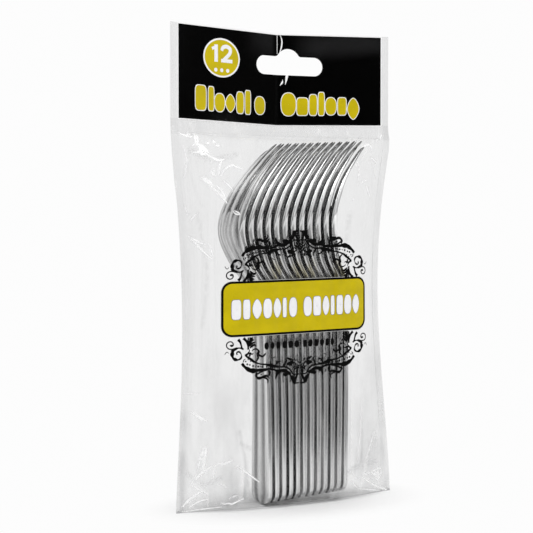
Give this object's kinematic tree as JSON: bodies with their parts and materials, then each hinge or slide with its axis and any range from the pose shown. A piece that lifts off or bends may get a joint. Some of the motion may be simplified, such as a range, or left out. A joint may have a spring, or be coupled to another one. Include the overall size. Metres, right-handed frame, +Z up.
{
  "type": "plastic cutlery pack",
  "caption": "Clear film header bag with a black header, a slotted hang hole and a plain yellow label, holding a nested stack of silver plastic forks.",
  "frame": {"origin": "middle of the bag's flat floor, on the surface that the pack stands on", "axes": "+Z up along the bag, -Y towards the printed front, +X across to the side that the fork tips bend towards"},
  "size_m": [0.128, 0.0319, 0.245],
  "materials": {
    "film": "clear glossy film with soft wrinkles",
    "header": "gloss black print",
    "label": "satin yellow print",
    "silver": "silvered moulded plastic"
  },
  "bodies": {
    "root": {"bag_film": "film", "header_panel": "header", "label_field": "label", "badge_field": "label", "fork_01": "silver", "fork_02": "silver", "fork_03": "silver", "fork_04": "silver", "fork_05": "silver", "fork_06": "silver", "fork_07": "silver", "fork_08": "silver", "fork_09": "silver", "fork_10": "silver", "fork_11": "silver", "fork_12": "silver"}
  },
  "joints": []
}
